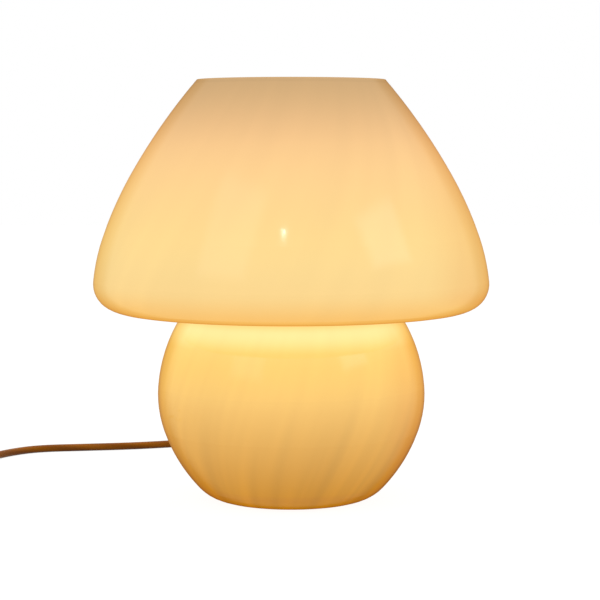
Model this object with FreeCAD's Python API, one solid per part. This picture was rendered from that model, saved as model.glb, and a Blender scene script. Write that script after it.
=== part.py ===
"""Mushroom table lamp: one blown glass body, a lamp holder clamped in its foot, a bulb and its lead.

Millimetres, +Z up. The origin is on the table under the lamp's axis, and the front looks along -Y.
"""
import FreeCAD, Part
import math
import os

V = FreeCAD.Vector
X_AXIS, Y_AXIS, Z_AXIS = V(1, 0, 0), V(0, 1, 0), V(0, 0, 1)

# Glass body: the outside, from the open top down to the foot.
# A bend is (radius, turn in degrees). Each starts where the one before it ends, in the same direction.
GLASS_WALL = 3.0
RIM_RADIUS = 60.9
RIM_HEIGHT = 273.0
RIM_SLOPE = 49.4                    # the cap's fall at the rim
RIM_EDGE = 0.5                      # rounding of the ground edge
RIM_WASTE = 6.0                     # what is cut off above the rim
CAP_BENDS = [(388.0, 11.1), (241.0, 10.5), (128.0, 12.9)]
CAP_ROLL_BENDS = [(17.2, 64.9), (24.3, 43.6), (60.0, 20.0)]
FOOT_RADIUS = 41.1
BASE_BENDS = [(26.7, 46.4), (102.6, 24.7), (71.2, 23.4), (99.9, 34.0)]
FOOT_RING_WIDTH = 5.6               # the flat that stands on the table
KICK_RISE = 8.0                     # the foot's pushed-up middle
KICK_FLAT_RADIUS = 20.0

# Clamped stack through the foot, M10 x 1 tube.
THREAD_RADIUS = 5.0
THREAD_BORE = 3.9
FOOT_HOLE_RADIUS = 5.2
NUT_ACROSS_FLATS = 14.0
NUT_HEIGHT = 4.0
WASHER_RADIUS = 14.0
GASKET_RADIUS = 15.5
SHEET = 1.5                         # thickness of each washer, gasket and disc
SPREADER_RADIUS = 19.0
COUPLER_RADIUS = 9.0
COUPLER_HEIGHT = 18.0
COUPLER_THREAD_DEPTH = 4.5
OUTLET_HEIGHT = 10.0                # side hole's centre above the coupler's seat
OUTLET_RADIUS = 4.6
NIPPLE_SHOWS = 2.0                  # thread that shows between coupler and holder

# Lamp holder and bulb, both E27.
COLLAR_RADIUS = 8.5
COLLAR_SPIGOT_RADIUS = 6.6          # the part that the dome is moulded round
COLLAR_HEIGHT = 4.0                 # heights above the collar's underside
DOME_FLANK = (0.83, 7.0)            # share of the holder's radius and height where the cone steepens
DOME_SHOULDER = 14.0
DOME_STEP = 16.0
DOME_TOP = 22.0
GRUB_RADIUS, GRUB_HEIGHT = 1.5, 2.2
HOLDER_RADIUS = 20.0
HOLDER_WALL = 2.4
SKIRT_RIM_HEIGHT = 88.5
SKIRT_LIP = 4.0
INSERT_RADIUS = 17.2
INSERT_HEIGHT = 8.0
TERMINAL_X = 8.0
TERMINAL_BLOCK = (5.0, 6.0, 7.0)    # width, depth, height; its upper half sits in the insert
SHELL_RADIUS = 13.5                 # inside of the holder's screw shell
SHELL_WALL = 0.6
SHELL_HEIGHT = 24.0
CONTACT_RADIUS = 5.2
CONTACT_GAP = 0.3
BULB_SEAT = 62.0
BULB_LENGTH = 105.0
BULB_RADIUS = 30.0
BULB_NECK_RADIUS = 12.6
BULB_GLASS_LOW, BULB_GLASS_NECK = 21.0, 30.0    # the glass's lower edge and its neck's top, above the seat
BULB_CAP_RADIUS = 13.1
BULB_CAP_LOW, BULB_CAP_HIGH = 5.5, 25.5
CAP_SHEET = 0.5
INSULATOR_RADIUS = 9.5
BULB_TIP_RADIUS, BULB_TIP_HEIGHT, BULB_TIP_DOME = 4.8, 2.0, 12.0
BULB_WALL = 0.8
STEM_PRESS, STEM_PINCH, STEM_BUTTON = 20.0, 6.0, 41.0   # heights above the glass's lower edge
FILAMENT_HEIGHT = BULB_SEAT + BULB_LENGTH - BULB_RADIUS
FILAMENT_RADIUS, FILAMENT_WIRE, FILAMENT_END = 11.0, 0.7, 130.0

# Lead
LEAD_DIAMETER = 5.5
CORE_DIAMETER = 2.2
LEAD_REST = LEAD_DIAMETER / 2 + 0.1     # centre height of the lead on the table
OUTLET_SLOPE = 30.0                 # fall of the hole in the back of the base
GLASS_HOLE_RADIUS = 5.2
RELIEF_LENGTH = 24.0
RELIEF_RIBS = 6

# Rocker switch on the lead. Its length runs along Y.
SWITCH_X, SWITCH_BACK_Y = -240.0, 71.0
SWITCH_LENGTH = 62.0
SWITCH_WIDTH = 25.0
SWITCH_END_WIDTH = 13.0
SWITCH_HEIGHT = 16.0
SWITCH_WALL = 2.0
SWITCH_BELLY = 30.0                 # length of the full width
SWITCH_ROUNDING = 2.5
SWITCH_SCREW_X, SWITCH_SCREW_Y = 9.2, 11.0
ROCKER_LENGTH, ROCKER_WIDTH, ROCKER_TILT = 18.6, 10.0, 9.0
ROCKER_PIVOT = 13.2                 # height of the axle
ROCKER_GAP = 0.4
ROCKER_WELL = 20.8                  # length of the opening
AXLE_RADIUS, AXLE_GAP = 1.5, 0.08

# Put-away coil: turns lie in two layers.
COIL_X, COIL_Y = -285.0, -62.0
COIL_OUTER = 43.5                   # to the middle of the lead
COIL_STEP = 7.4                     # from turn to turn
COIL_LAYER = 6.0
COIL_TURNS = 3                      # in each layer, before and after the climb

# Two-pin plug. Its length runs along Y.
PLUG_X, PLUG_TAIL_Y = -331.0, -8.0
PLUG_WIDTH, PLUG_THICKNESS = 35.3, 13.7
PLUG_BODY_LENGTH = 36.0
PLUG_TAPER = 26.0
PLUG_RELIEF_LENGTH = 22.0
PIN_RADIUS, PIN_LENGTH, PIN_SPACING = 2.0, 19.0, 18.6
PIN_COLLAR_RADIUS, PIN_COLLAR_LENGTH = 1.7, 10.0    # the collar is thinner than the metal tip
PIN_CORE_RADIUS, PIN_ROOT = 1.3, 4.0
PIN_END = 1.2                       # rounding of the tip
PLUG_RELIEF_NARROW, PLUG_RELIEF_WIDE, PLUG_RIBS = 3.9, 5.4, 6


def save(name, shape):
    """Write one named piece."""
    shape.exportStep("parts/%s.step" % name)
    box = shape.BoundBox
    print("%-16s solids %d  volume %9.1f  z %.2f to %.2f  valid %s"
          % (name, len(shape.Solids), shape.Volume, box.ZMin, box.ZMax, shape.isValid()))


def tube(radius, bore, low, height):
    """A round sleeve on the lamp's axis, or a plain cylinder when bore is 0."""
    body = Part.makeCylinder(radius, height, V(0, 0, low))
    if bore:
        body = body.cut(Part.makeCylinder(bore, height, V(0, 0, low)))
    return body


def outline(points):
    """A closed face in the X-Z plane from (radius, height) points; the straight sides close it."""
    corners = [V(r, 0, z) for r, z in points]
    return Part.Face(Part.makePolygon(corners + corners[:1]))


def turned(face):
    """A face in the X-Z plane turned once about the lamp's axis."""
    return face.revolve(V(0, 0, 0), Z_AXIS, 360)


# ---------------------------------------------------------------- glass

def heading(angle):
    return V(math.cos(math.radians(angle)), 0, math.sin(math.radians(angle)))


def bend(start, angle, radius, turn):
    """An arc that leaves start at angle and turns by turn; returns the edge, its end and its end angle."""
    side = math.copysign(1.0, turn)
    centre = start + heading(angle + 90) * side * radius

    def at(part):
        return centre - heading(angle + part + 90) * side * radius

    return Part.Arc(start, at(turn / 2), at(turn)).toShape(), at(turn), angle + turn


def run_of_bends(start, angle, bends, side, inset):
    """Bends in a row, all turning to the same side, moved inset towards their centres."""
    edges = []
    point = start + heading(angle + 90 * side) * inset
    for radius, turn in bends:
        edge, point, angle = bend(point, angle, radius - inset, side * turn)
        edges.append(edge)
    return edges, point, angle


def wall_line(inset):
    """The glass wall's line from above the rim to the foot, inset from the outside.

    The cap's underside and the base's shoulder run on until they meet, and a cove rounds that corner
    from where the shoulder ends, so its radius follows from the two directions.
    """
    rim = V(RIM_RADIUS, 0, RIM_HEIGHT)
    cap, cap_end, cap_angle = run_of_bends(rim, -RIM_SLOPE, CAP_BENDS + CAP_ROLL_BENDS, -1, inset)
    base, shoulder, base_angle = run_of_bends(V(FOOT_RADIUS, 0, 0), 0.0, BASE_BENDS, 1, inset)
    inward, upward = heading(cap_angle), heading(base_angle)
    gap = cap_end - shoulder
    reach = (gap.x * inward.z - gap.z * inward.x) / (upward.x * inward.z - upward.z * inward.x)
    corner = shoulder + upward * reach
    cove_turn = (base_angle + 180) - (cap_angle + 360)
    cove_radius = reach / math.tan(math.radians(cove_turn / 2))
    cove_start = corner - inward * reach
    cove, _, _ = bend(cove_start, cap_angle, cove_radius, cove_turn)
    if not inset:
        print("neck cove radius %.2f, narrowest neck radius %.2f"
              % (cove_radius, cove.BoundBox.XMin))
    cap_start = rim + heading(-RIM_SLOPE - 90) * inset
    waste = Part.makeLine(cap_start - heading(-RIM_SLOPE) * RIM_WASTE, cap_start)
    return [waste] + cap + [Part.makeLine(cap_end, cove_start), cove] + base[::-1]


def kick_line(lift, foot_end):
    """The foot's middle: a round rise from foot_end's circle to the raised flat, lift above the outside."""
    radius = (FOOT_RADIUS - FOOT_RING_WIDTH - KICK_FLAT_RADIUS)
    radius = (radius ** 2 + KICK_RISE ** 2) / (2 * KICK_RISE) + lift
    centre = V(KICK_FLAT_RADIUS, 0, KICK_RISE + lift - radius)
    reach = math.degrees(math.asin((foot_end.z - centre.z) / radius))
    rise = Part.Arc(centre + heading(reach) * radius, centre + heading((reach + 90) / 2) * radius,
                    centre + heading(90) * radius).toShape()
    flat_end = V(FOOT_HOLE_RADIUS, 0, KICK_RISE + lift)
    ring = Part.makeLine(foot_end, centre + heading(reach) * radius)
    return [ring, rise, Part.makeLine(centre + heading(90) * radius, flat_end)], flat_end


def outlet_frame():
    """The hole in the back of the base: its point on the outside and its outward direction."""
    edges, point, angle = run_of_bends(V(FOOT_RADIUS, 0, 0), 0.0, BASE_BENDS[:1], 1, 0)
    _, point, angle = bend(point, angle, BASE_BENDS[1][0], 90 - OUTLET_SLOPE - angle)
    out = heading(angle - 90)
    return V(0, point.x, point.z), V(0, out.x, out.z)


def glass_body():
    """Cap, neck and base in one wall; the top is cut off level and ground, the lead's hole is drilled."""
    outside, inside = wall_line(0.0), wall_line(GLASS_WALL)
    low, low_end = kick_line(0.0, V(FOOT_RADIUS, 0, 0))
    high, high_end = kick_line(GLASS_WALL, V(FOOT_RADIUS, 0, GLASS_WALL))
    waste_end = Part.makeLine(inside[0].Vertexes[0].Point, outside[0].Vertexes[0].Point)
    wall = outside + low + [Part.makeLine(low_end, high_end)] + high[::-1] + inside[::-1] + [waste_end]
    body = turned(Part.Face(Part.Wire(wall)))
    body = body.cut(tube(RIM_RADIUS + RIM_WASTE, 0, RIM_HEIGHT, 2 * RIM_WASTE))
    rim_circles = [e for e in body.Edges if e.BoundBox.ZMin > RIM_HEIGHT - 0.01]
    body = body.makeFillet(RIM_EDGE, rim_circles)
    mouth, out = outlet_frame()
    drill = Part.makeCylinder(GLASS_HOLE_RADIUS, 6 * GLASS_WALL, mouth - out * 3 * GLASS_WALL, out)
    return body.cut(drill)


# ---------------------------------------------------------------- clamped stack in the foot

def stack_heights():
    """Seats of the clamped stack, from the nut's underside up to the holder's collar."""
    gasket = KICK_RISE - SHEET
    washer = gasket - SHEET
    floor = KICK_RISE + GLASS_WALL
    spreader = floor + SHEET
    coupler = spreader + SHEET
    return {"nut": washer - NUT_HEIGHT, "washer": washer, "gasket": gasket, "floor": floor,
            "spreader": spreader, "coupler": coupler, "collar": coupler + COUPLER_HEIGHT + NIPPLE_SHOWS}


def hexagon_nut(low):
    corner = NUT_ACROSS_FLATS / 2 / math.cos(math.radians(30))
    corners = [V(corner * math.cos(math.radians(60 * k)), corner * math.sin(math.radians(60 * k)), low)
               for k in range(7)]
    nut = Part.Face(Part.makePolygon(corners)).extrude(V(0, 0, NUT_HEIGHT))
    chamfer = outline([(0, low), (corner - 0.9, low), (corner, low + 0.5), (corner, low + NUT_HEIGHT),
                       (0, low + NUT_HEIGHT)])
    return nut.common(turned(chamfer)).cut(tube(THREAD_RADIUS, 0, low, NUT_HEIGHT))


def outlet_coupler(low):
    body = tube(COUPLER_RADIUS, 0, low, COUPLER_HEIGHT)
    body = body.makeChamfer(0.6, [e for e in body.Edges if isinstance(e.Curve, Part.Circle)])
    body = body.cut(tube(THREAD_RADIUS, 0, low, COUPLER_HEIGHT))
    side = Part.makeCylinder(OUTLET_RADIUS, COUPLER_RADIUS, V(0, 0, low + OUTLET_HEIGHT), Y_AXIS)
    return body.cut(side)


def outlet_bush(low):
    """A bush through the coupler's side hole, with a collar outside."""
    height = V(0, 0, low + OUTLET_HEIGHT)
    inner = THREAD_RADIUS + 1.0
    body = Part.makeCylinder(OUTLET_RADIUS, COUPLER_RADIUS + 2.0 - inner, height + Y_AXIS * inner, Y_AXIS)
    collar = Part.makeCylinder(OUTLET_RADIUS + 1.2, 1.5, height + Y_AXIS * (COUPLER_RADIUS + 0.5), Y_AXIS)
    body = body.fuse(collar.cut(tube(COUPLER_RADIUS, 0, low, COUPLER_HEIGHT))).removeSplitter()
    return body.cut(Part.makeCylinder(LEAD_DIAMETER / 2, 3 * COUPLER_RADIUS, height, Y_AXIS))


# ---------------------------------------------------------------- lamp holder

def holder_collar(low):
    """The brass collar on the tube, tapped for the grub screw; its spigot fills the dome's floor."""
    floor = low + COLLAR_HEIGHT
    body = turned(outline([
        (THREAD_RADIUS, low), (COLLAR_RADIUS, low), (COLLAR_RADIUS, floor), (COLLAR_SPIGOT_RADIUS, floor),
        (COLLAR_SPIGOT_RADIUS, floor + HOLDER_WALL), (THREAD_RADIUS, floor + HOLDER_WALL)]))
    return body.cut(Part.makeCylinder(GRUB_RADIUS, COLLAR_RADIUS, V(0, 0, low + GRUB_HEIGHT), X_AXIS))


def holder_dome(low):
    """The holder's lower half: a two-step cone on the collar, and a step that carries the skirt."""
    floor, shoulder, step = low + COLLAR_HEIGHT, low + DOME_SHOULDER, low + DOME_STEP
    wide, seat = HOLDER_RADIUS, HOLDER_RADIUS - HOLDER_WALL
    inner = seat - HOLDER_WALL
    flank, flank_height = DOME_FLANK[0] * wide, low + DOME_FLANK[1]
    return turned(outline([
        (COLLAR_SPIGOT_RADIUS, floor), (COLLAR_RADIUS, floor), (flank, flank_height), (wide, shoulder),
        (wide, step), (seat, step), (seat, low + DOME_TOP), (inner, low + DOME_TOP), (inner, shoulder + 1),
        (flank - HOLDER_WALL, flank_height + HOLDER_WALL), (COLLAR_SPIGOT_RADIUS, floor + HOLDER_WALL)]))


def dome_grub_screw(low):
    """A headless screw from the collar's side onto the tube, slotted at its outer end."""
    start = V(THREAD_RADIUS, 0, low + GRUB_HEIGHT)
    body = Part.makeCylinder(GRUB_RADIUS, COLLAR_RADIUS - THREAD_RADIUS - 0.2, start, X_AXIS)
    wide, deep = 0.6, 0.7
    slot = Part.makeBox(2 * deep, 2 * GRUB_RADIUS, wide,
                        V(COLLAR_RADIUS - 0.2 - deep, -GRUB_RADIUS, start.z - wide / 2))
    return body.cut(slot)


def holder_skirt(low):
    """The holder's upper half: a sleeve with gripping ribs and a rounded lip round the bulb's cap."""
    lip = HOLDER_RADIUS - SKIRT_LIP
    body = turned(outline([
        (HOLDER_RADIUS - HOLDER_WALL, low), (HOLDER_RADIUS, low), (HOLDER_RADIUS, SKIRT_RIM_HEIGHT - 3),
        (HOLDER_RADIUS - 2, SKIRT_RIM_HEIGHT), (lip, SKIRT_RIM_HEIGHT), (lip, SKIRT_RIM_HEIGHT - 2.2),
        (HOLDER_RADIUS - HOLDER_WALL, SKIRT_RIM_HEIGHT - 4.0)]))
    ribs = [Part.makeCylinder(0.9, 12.0, V(HOLDER_RADIUS + 0.3, 0, low + 4)) for _ in range(24)]
    for k, rib in enumerate(ribs):
        rib.rotate(V(0, 0, 0), Z_AXIS, 15 * k)
    return body.cut(Part.makeCompound(ribs))


def holder_insert(high, seat):
    """The ceramic disc that carries the contacts; its flange rests on the dome's rim at height seat."""
    low = high - INSERT_HEIGHT
    waist = HOLDER_RADIUS - 2 * HOLDER_WALL - 0.2
    body = turned(outline([(0, low), (waist, low), (waist, seat), (INSERT_RADIUS, seat),
                           (INSERT_RADIUS, high), (0, high)]))
    wide, deep, tall = TERMINAL_BLOCK
    for side in (-1, 1):
        seat = V(side * TERMINAL_X - wide / 2, -deep / 2, low)
        body = body.cut(Part.makeBox(wide, deep, tall / 2, seat))
    return body


def screw_shell(low):
    floor = outline([(CONTACT_RADIUS + 2.5, low), (SHELL_RADIUS + SHELL_WALL, low),
                     (SHELL_RADIUS + SHELL_WALL, low + SHELL_HEIGHT), (SHELL_RADIUS, low + SHELL_HEIGHT),
                     (SHELL_RADIUS, low + SHELL_WALL), (CONTACT_RADIUS + 2.5, low + SHELL_WALL)])
    return turned(floor)


def terminal_posts(high):
    """Two brass blocks in the insert's seats, each with a slotted screw from the side."""
    wide, deep, tall = TERMINAL_BLOCK
    head_radius, head_height, slot = 1.7, 1.4, 0.6
    posts = []
    for side in (-1, 1):
        x, front, middle = side * TERMINAL_X, -deep / 2, high - 0.74 * tall
        block = Part.makeBox(wide, deep, tall, V(x - wide / 2, front, high - tall))
        hole = Part.makeCylinder(CORE_DIAMETER / 2, 4.0, V(x, 0, high - tall))
        head = Part.makeCylinder(head_radius, head_height, V(x, front, middle), Y_AXIS * -1)
        groove = Part.makeBox(2 * head_radius, slot, slot,
                              V(x - head_radius, front - head_height, middle - slot / 2))
        posts.append(block.cut(hole).fuse(head).cut(groove))
    return Part.makeCompound(posts)


# ---------------------------------------------------------------- bulb

def bulb_envelope(inset):
    """The bulb's outline from its neck to its crown, as edges, and the solid inside it.

    The neck runs straight, a hollow curve leads out of it, and the globe closes it. The curve touches
    both, so its radius follows from their sizes.
    """
    neck = BULB_NECK_RADIUS - inset
    globe = BULB_RADIUS - inset
    centre = V(0, 0, BULB_SEAT + BULB_LENGTH - BULB_RADIUS)
    low, neck_top = BULB_SEAT + BULB_GLASS_LOW, BULB_SEAT + BULB_GLASS_NECK
    rise = centre.z - neck_top
    sweep = (neck ** 2 + rise ** 2 - globe ** 2) / (2 * (globe - neck))
    sweep_centre = V(neck + sweep, 0, neck_top)
    towards = (sweep_centre - centre).normalize()
    touch = centre + towards * globe
    middle = (V(neck, 0, neck_top) + touch) * 0.5 - sweep_centre
    crown = centre + V(0, 0, globe)
    edges = [Part.makeLine(V(neck, 0, low), V(neck, 0, neck_top)),
             Part.Arc(V(neck, 0, neck_top), sweep_centre + middle.normalize() * sweep, touch).toShape(),
             Part.Arc(touch, centre + V(globe, 0, 0), crown).toShape(),
             Part.makeLine(crown, V(0, 0, low)), Part.makeLine(V(0, 0, low), V(neck, 0, low))]
    return turned(Part.Face(Part.Wire(edges)))


def bulb_stem():
    """The glass foot inside the bulb: a flare pressed flat at the top round the two wires."""
    low, inner, reach = BULB_SEAT + BULB_GLASS_LOW, 2.5, BULB_NECK_RADIUS - BULB_WALL
    press = low + STEM_PRESS
    flare = turned(outline([(inner, low), (reach, low), (reach, low + 1.2), (2 * inner, low + 5),
                            (inner + 1.5, press), (inner, press)]))
    pinch = Part.makeBox(7.6, 3.2, STEM_PINCH, V(-3.8, -1.6, press))
    rod = Part.makeCylinder(1.2, STEM_BUTTON - STEM_PRESS - STEM_PINCH, V(0, 0, press + STEM_PINCH))
    button = Part.makeSphere(2.0, V(0, 0, low + STEM_BUTTON))
    return flare.fuse([pinch, rod, button]).removeSplitter()


def rod_between(start, end, radius):
    return Part.makeCylinder(radius, (end - start).Length, start, end - start)


def ring_point(radius, angle, height):
    """A point at an angle, in degrees, on a circle about the lamp's axis."""
    return V(radius * math.cos(math.radians(angle)), radius * math.sin(math.radians(angle)), height)


def bulb_supports(stem, filament):
    """Two current wires from the pinch to the filament's ends and three hooks from the button.

    Each ends on the surface of the glass that holds it and of the filament that it carries.
    """
    glass_low = BULB_SEAT + BULB_GLASS_LOW
    pinch, button = glass_low + STEM_PRESS + STEM_PINCH, glass_low + STEM_BUTTON
    wires = []
    for angle in (-FILAMENT_END, FILAMENT_END):
        start = V(-3, math.copysign(1, angle), pinch)
        wires.append(rod_between(start, ring_point(FILAMENT_RADIUS, angle, FILAMENT_HEIGHT), 0.4))
    for angle in (-60, 0, 60):
        start = ring_point(1.0, angle, button)
        wires.append(rod_between(start, ring_point(FILAMENT_RADIUS, angle, FILAMENT_HEIGHT), 0.3))
    wires = [max(wire.cut([stem, filament]).Solids, key=lambda piece: piece.Volume) for wire in wires]
    return Part.makeCompound(wires)


def bulb_filament():
    """The filament's coil seen as one wire: three quarters of a circle round the stem."""
    start, middle, end = (ring_point(FILAMENT_RADIUS, angle, FILAMENT_HEIGHT)
                          for angle in (-FILAMENT_END, 0, FILAMENT_END))
    path = Part.Wire([Part.Arc(start, middle, end).toShape()])
    profile = Part.Wire([Part.makeCircle(FILAMENT_WIRE, start, V(-start.y, start.x, 0))])
    return path.makePipeShell([profile], True, False)


def bulb_cap():
    """The cap's thin shell, drawn in at the bottom round the black insulator."""
    low, high = BULB_SEAT + BULB_CAP_LOW, BULB_SEAT + BULB_CAP_HIGH
    outer = [(INSULATOR_RADIUS + CAP_SHEET, low), (BULB_CAP_RADIUS, low + 3), (BULB_CAP_RADIUS, high - 3),
             (BULB_CAP_RADIUS + 0.2, high)]
    inner = [(r - CAP_SHEET, z) for r, z in outer]
    return turned(outline(outer + inner[::-1]))


def bulb_insulator():
    """The black glass between the cap and its tip."""
    low, edge = BULB_SEAT + BULB_TIP_HEIGHT, BULB_SEAT + BULB_CAP_LOW
    return turned(outline([(0, low), (BULB_TIP_RADIUS + 0.7, low), (INSULATOR_RADIUS, edge),
                           (INSULATOR_RADIUS, edge + 1.5), (0, edge + 1.5)]))


def bulb_tip():
    """The soldered tip, slightly domed."""
    dome = Part.makeSphere(BULB_TIP_DOME, V(0, 0, BULB_SEAT + BULB_TIP_DOME))
    return dome.common(tube(BULB_TIP_RADIUS, 0, BULB_SEAT, BULB_TIP_HEIGHT))


# ---------------------------------------------------------------- lead

def soft_path(points, name):
    """Straight runs joined by tangent arcs, each as large as its two runs allow."""
    edges, radii, at = [], [], points[0]
    for before, corner, after in zip(points, points[1:], points[2:]):
        come, leave = (corner - before), (after - corner)
        shorter = min(come.Length, leave.Length)
        come, leave = V(come).normalize(), V(leave).normalize()
        half = come.getAngle(leave) / 2
        cut = 0.45 * shorter
        radius = cut / math.tan(half)
        start, end = corner - come * cut, corner + leave * cut
        towards = (leave - come).normalize()
        middle = corner + towards * (radius / math.cos(half) - radius)
        edges += [Part.makeLine(at, start), Part.Arc(start, middle, end).toShape()]
        radii.append(round(radius, 1))
        at = end
    edges.append(Part.makeLine(at, points[-1]))
    print("%s radii %s" % (name, radii))
    return Part.Wire(edges)


def round_cord(path, diameter, name):
    """A round cord along a path, with its volume set against section times length."""
    first = path.Edges[0]
    start = first.valueAt(first.FirstParameter)
    profile = Part.Wire([Part.makeCircle(diameter / 2, start, first.tangentAt(first.FirstParameter))])
    cord = path.makePipeShell([profile], True, False)
    ratio = cord.Volume / (math.pi * diameter ** 2 / 4 * path.Length)
    print("%s length %.1f, volume ratio %.4f" % (name, path.Length, ratio))
    return cord


def relief_end():
    """Where the lead comes out of the bend relief, and its direction."""
    mouth, out = outlet_frame()
    return mouth + out * (2.5 + RELIEF_LENGTH), out


def cable_grommet(glass):
    """A rubber grommet in the glass with a ribbed, tapering bend relief, seated on the curved wall."""
    mouth, out = outlet_frame()
    bore, lip = LEAD_DIAMETER / 2, GLASS_HOLE_RADIUS + 3.0
    wide, narrow = bore + 2.6, bore + 1.1
    back = -GLASS_WALL - 2.0
    points = [(bore, back), (lip, back), (lip, -GLASS_WALL + 0.5), (GLASS_HOLE_RADIUS, -GLASS_WALL + 0.5),
              (GLASS_HOLE_RADIUS, -0.6), (lip, -0.6), (lip, 1.6), (lip - 0.9, 2.5)]
    rib = RELIEF_LENGTH / RELIEF_RIBS
    for k in range(RELIEF_RIBS):
        near = wide + (narrow - wide) * k / RELIEF_RIBS
        far = wide + (narrow - wide) * (k + 0.6) / RELIEF_RIBS
        along = 2.5 + rib * k
        points += [(near - 0.7, along), (near - 0.7, along + 0.3 * rib), (near, along + 0.3 * rib),
                   (far, along + rib)]
    points += [(bore, 2.5 + RELIEF_LENGTH)]
    body = turned(outline(points))
    body.Placement = FreeCAD.Placement(mouth, FreeCAD.Rotation(Z_AXIS, out))
    return max(body.cut(glass).Solids, key=lambda solid: solid.Volume)


def cord_stop():
    """The clamp that keeps the lead from being pulled out: a split ring with a screw boss."""
    mouth, out = outlet_frame()
    ring = Part.makeCylinder(LEAD_DIAMETER / 2 + 2.6, 5.0)
    boss = Part.makeBox(6.0, 6.0, 5.0, V(LEAD_DIAMETER / 2 + 0.6, -3.0, 0))
    boss = boss.cut(Part.makeBox(7.0, 0.8, 5.0, V(LEAD_DIAMETER / 2 + 0.6, -0.4, 0)))
    boss = boss.cut(Part.makeCylinder(1.2, 8.0, V(LEAD_DIAMETER / 2 + 4.2, -4.0, 2.5), Y_AXIS))
    body = ring.fuse(boss).cut(Part.makeCylinder(LEAD_DIAMETER / 2, 5.0))
    turn = FreeCAD.Rotation(Z_AXIS, out * -1)
    body.Placement = FreeCAD.Placement(mouth - out * (GLASS_WALL + 2.0), turn)
    return body


def inner_lead(seats):
    """The lead inside the base: on from the grommet, over in a slack bend and down to the coupler."""
    mouth, out = outlet_frame()
    start = mouth - out * (GLASS_WALL + 2.0)
    height = seats["coupler"] + OUTLET_HEIGHT
    end = V(0, THREAD_RADIUS + 1.0, height)
    points = [start, start - out * 20, V(2, start.y - 36, start.z + 7), V(0, end.y + 15, height), end]
    return round_cord(soft_path(points, "inner_lead"), LEAD_DIAMETER, "inner_lead")


def lead_cores(seats, post_low):
    """Two cores, side by side, from the stripped lead up through the tube to the terminals."""
    height = seats["coupler"] + OUTLET_HEIGHT
    cores = []
    for side in (-1, 1):
        near, far = side * 1.3, side * TERMINAL_X
        points = [V(near, THREAD_RADIUS + 1.0, height), V(near, 2.4, height), V(near, 0, height + 2.4),
                  V(near, 0, post_low - 8.0), V(far, 0, post_low - 3.4), V(far, 0, post_low + 3.0)]
        cores.append(round_cord(soft_path(points, "core"), CORE_DIAMETER, "core"))
    return Part.makeCompound(cores)


def lamp_to_switch_route():
    """The visible lead: out of the back, round behind the base and off to the left along the table."""
    start, out = relief_end()
    down = start + out * ((start.z - LEAD_REST) / -out.z)
    height = SWITCH_HEIGHT / 2
    route = [start, down]
    for x, y in [(-2, 150), (-14, 184), (-42, 211), (-76, 222), (-117, 208), (-153, 201.5), (-190, 193),
                 (-209, 172), (-222, 146), (-234, 119)]:
        route.append(V(x, y, LEAD_REST))
    return route + [V(SWITCH_X, SWITCH_BACK_Y + 22, height), V(SWITCH_X, SWITCH_BACK_Y, height)]


def switch_to_coil_route():
    front = SWITCH_BACK_Y - SWITCH_LENGTH
    start_x = COIL_X + COIL_OUTER
    return [V(SWITCH_X, front, SWITCH_HEIGHT / 2), V(SWITCH_X, front - 17, SWITCH_HEIGHT / 2),
            V(start_x, front - 42, LEAD_REST), V(start_x, COIL_Y + LEAD_DIAMETER, LEAD_REST)]


def coil_to_plug_route():
    start_x, top = COIL_X - COIL_OUTER, LEAD_REST + COIL_LAYER
    height = PLUG_THICKNESS / 2 + 0.1
    return [V(start_x, COIL_Y + LEAD_DIAMETER, top), V(start_x, COIL_Y + 20, top),
            V(PLUG_X, PLUG_TAIL_Y - 18, height), V(PLUG_X, PLUG_TAIL_Y, height)]


def half_turn(start, end, forward):
    """A half turn as two quarter arcs: it leaves start along forward and reaches end against it."""
    reach = (end - start).Length / 2
    middle = (start + end) * 0.5 + forward * reach
    edges = []
    for a, b, along in ((start, middle, forward), (middle, end, (end - start).normalize())):
        chord = b - a
        normal = (chord - along * chord.dot(along)).normalize()
        radius = chord.dot(chord) / (2 * chord.dot(normal))
        centre = a + normal * radius
        bulge = ((a + b) * 0.5 - centre).normalize()
        edges.append(Part.Arc(a, centre + bulge * radius, b).toShape())
    return edges


def coil_path():
    """Half turns that step in over the lower layer, climb in one half turn, and step out again."""
    halves = 2 * COIL_TURNS
    reach = [COIL_OUTER - COIL_STEP / 2 * k for k in range(halves + 1)]
    ends = [(r, LEAD_REST) for r in reach] + [(r, LEAD_REST + COIL_LAYER) for r in reach[::-1]]
    points = [V(COIL_X + (-1) ** k * r, COIL_Y, z) for k, (r, z) in enumerate(ends)]
    edges = [Part.makeLine(points[0] + Y_AXIS * LEAD_DIAMETER, points[0])]
    for k, (start, end) in enumerate(zip(points, points[1:])):
        edges += half_turn(start, end, Y_AXIS * (-1) ** (k + 1))
    edges.append(Part.makeLine(points[-1], points[-1] + Y_AXIS * LEAD_DIAMETER))
    return Part.Wire(edges)


def least_gap(path, diameter):
    """The coil's least gap to itself, measured on points a millimetre apart."""
    points = path.discretize(Distance=1.0)
    away = int(2.5 * diameter)
    return min((a - b).Length for i, a in enumerate(points) for b in points[i + away:]) - diameter


# ---------------------------------------------------------------- switch

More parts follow.
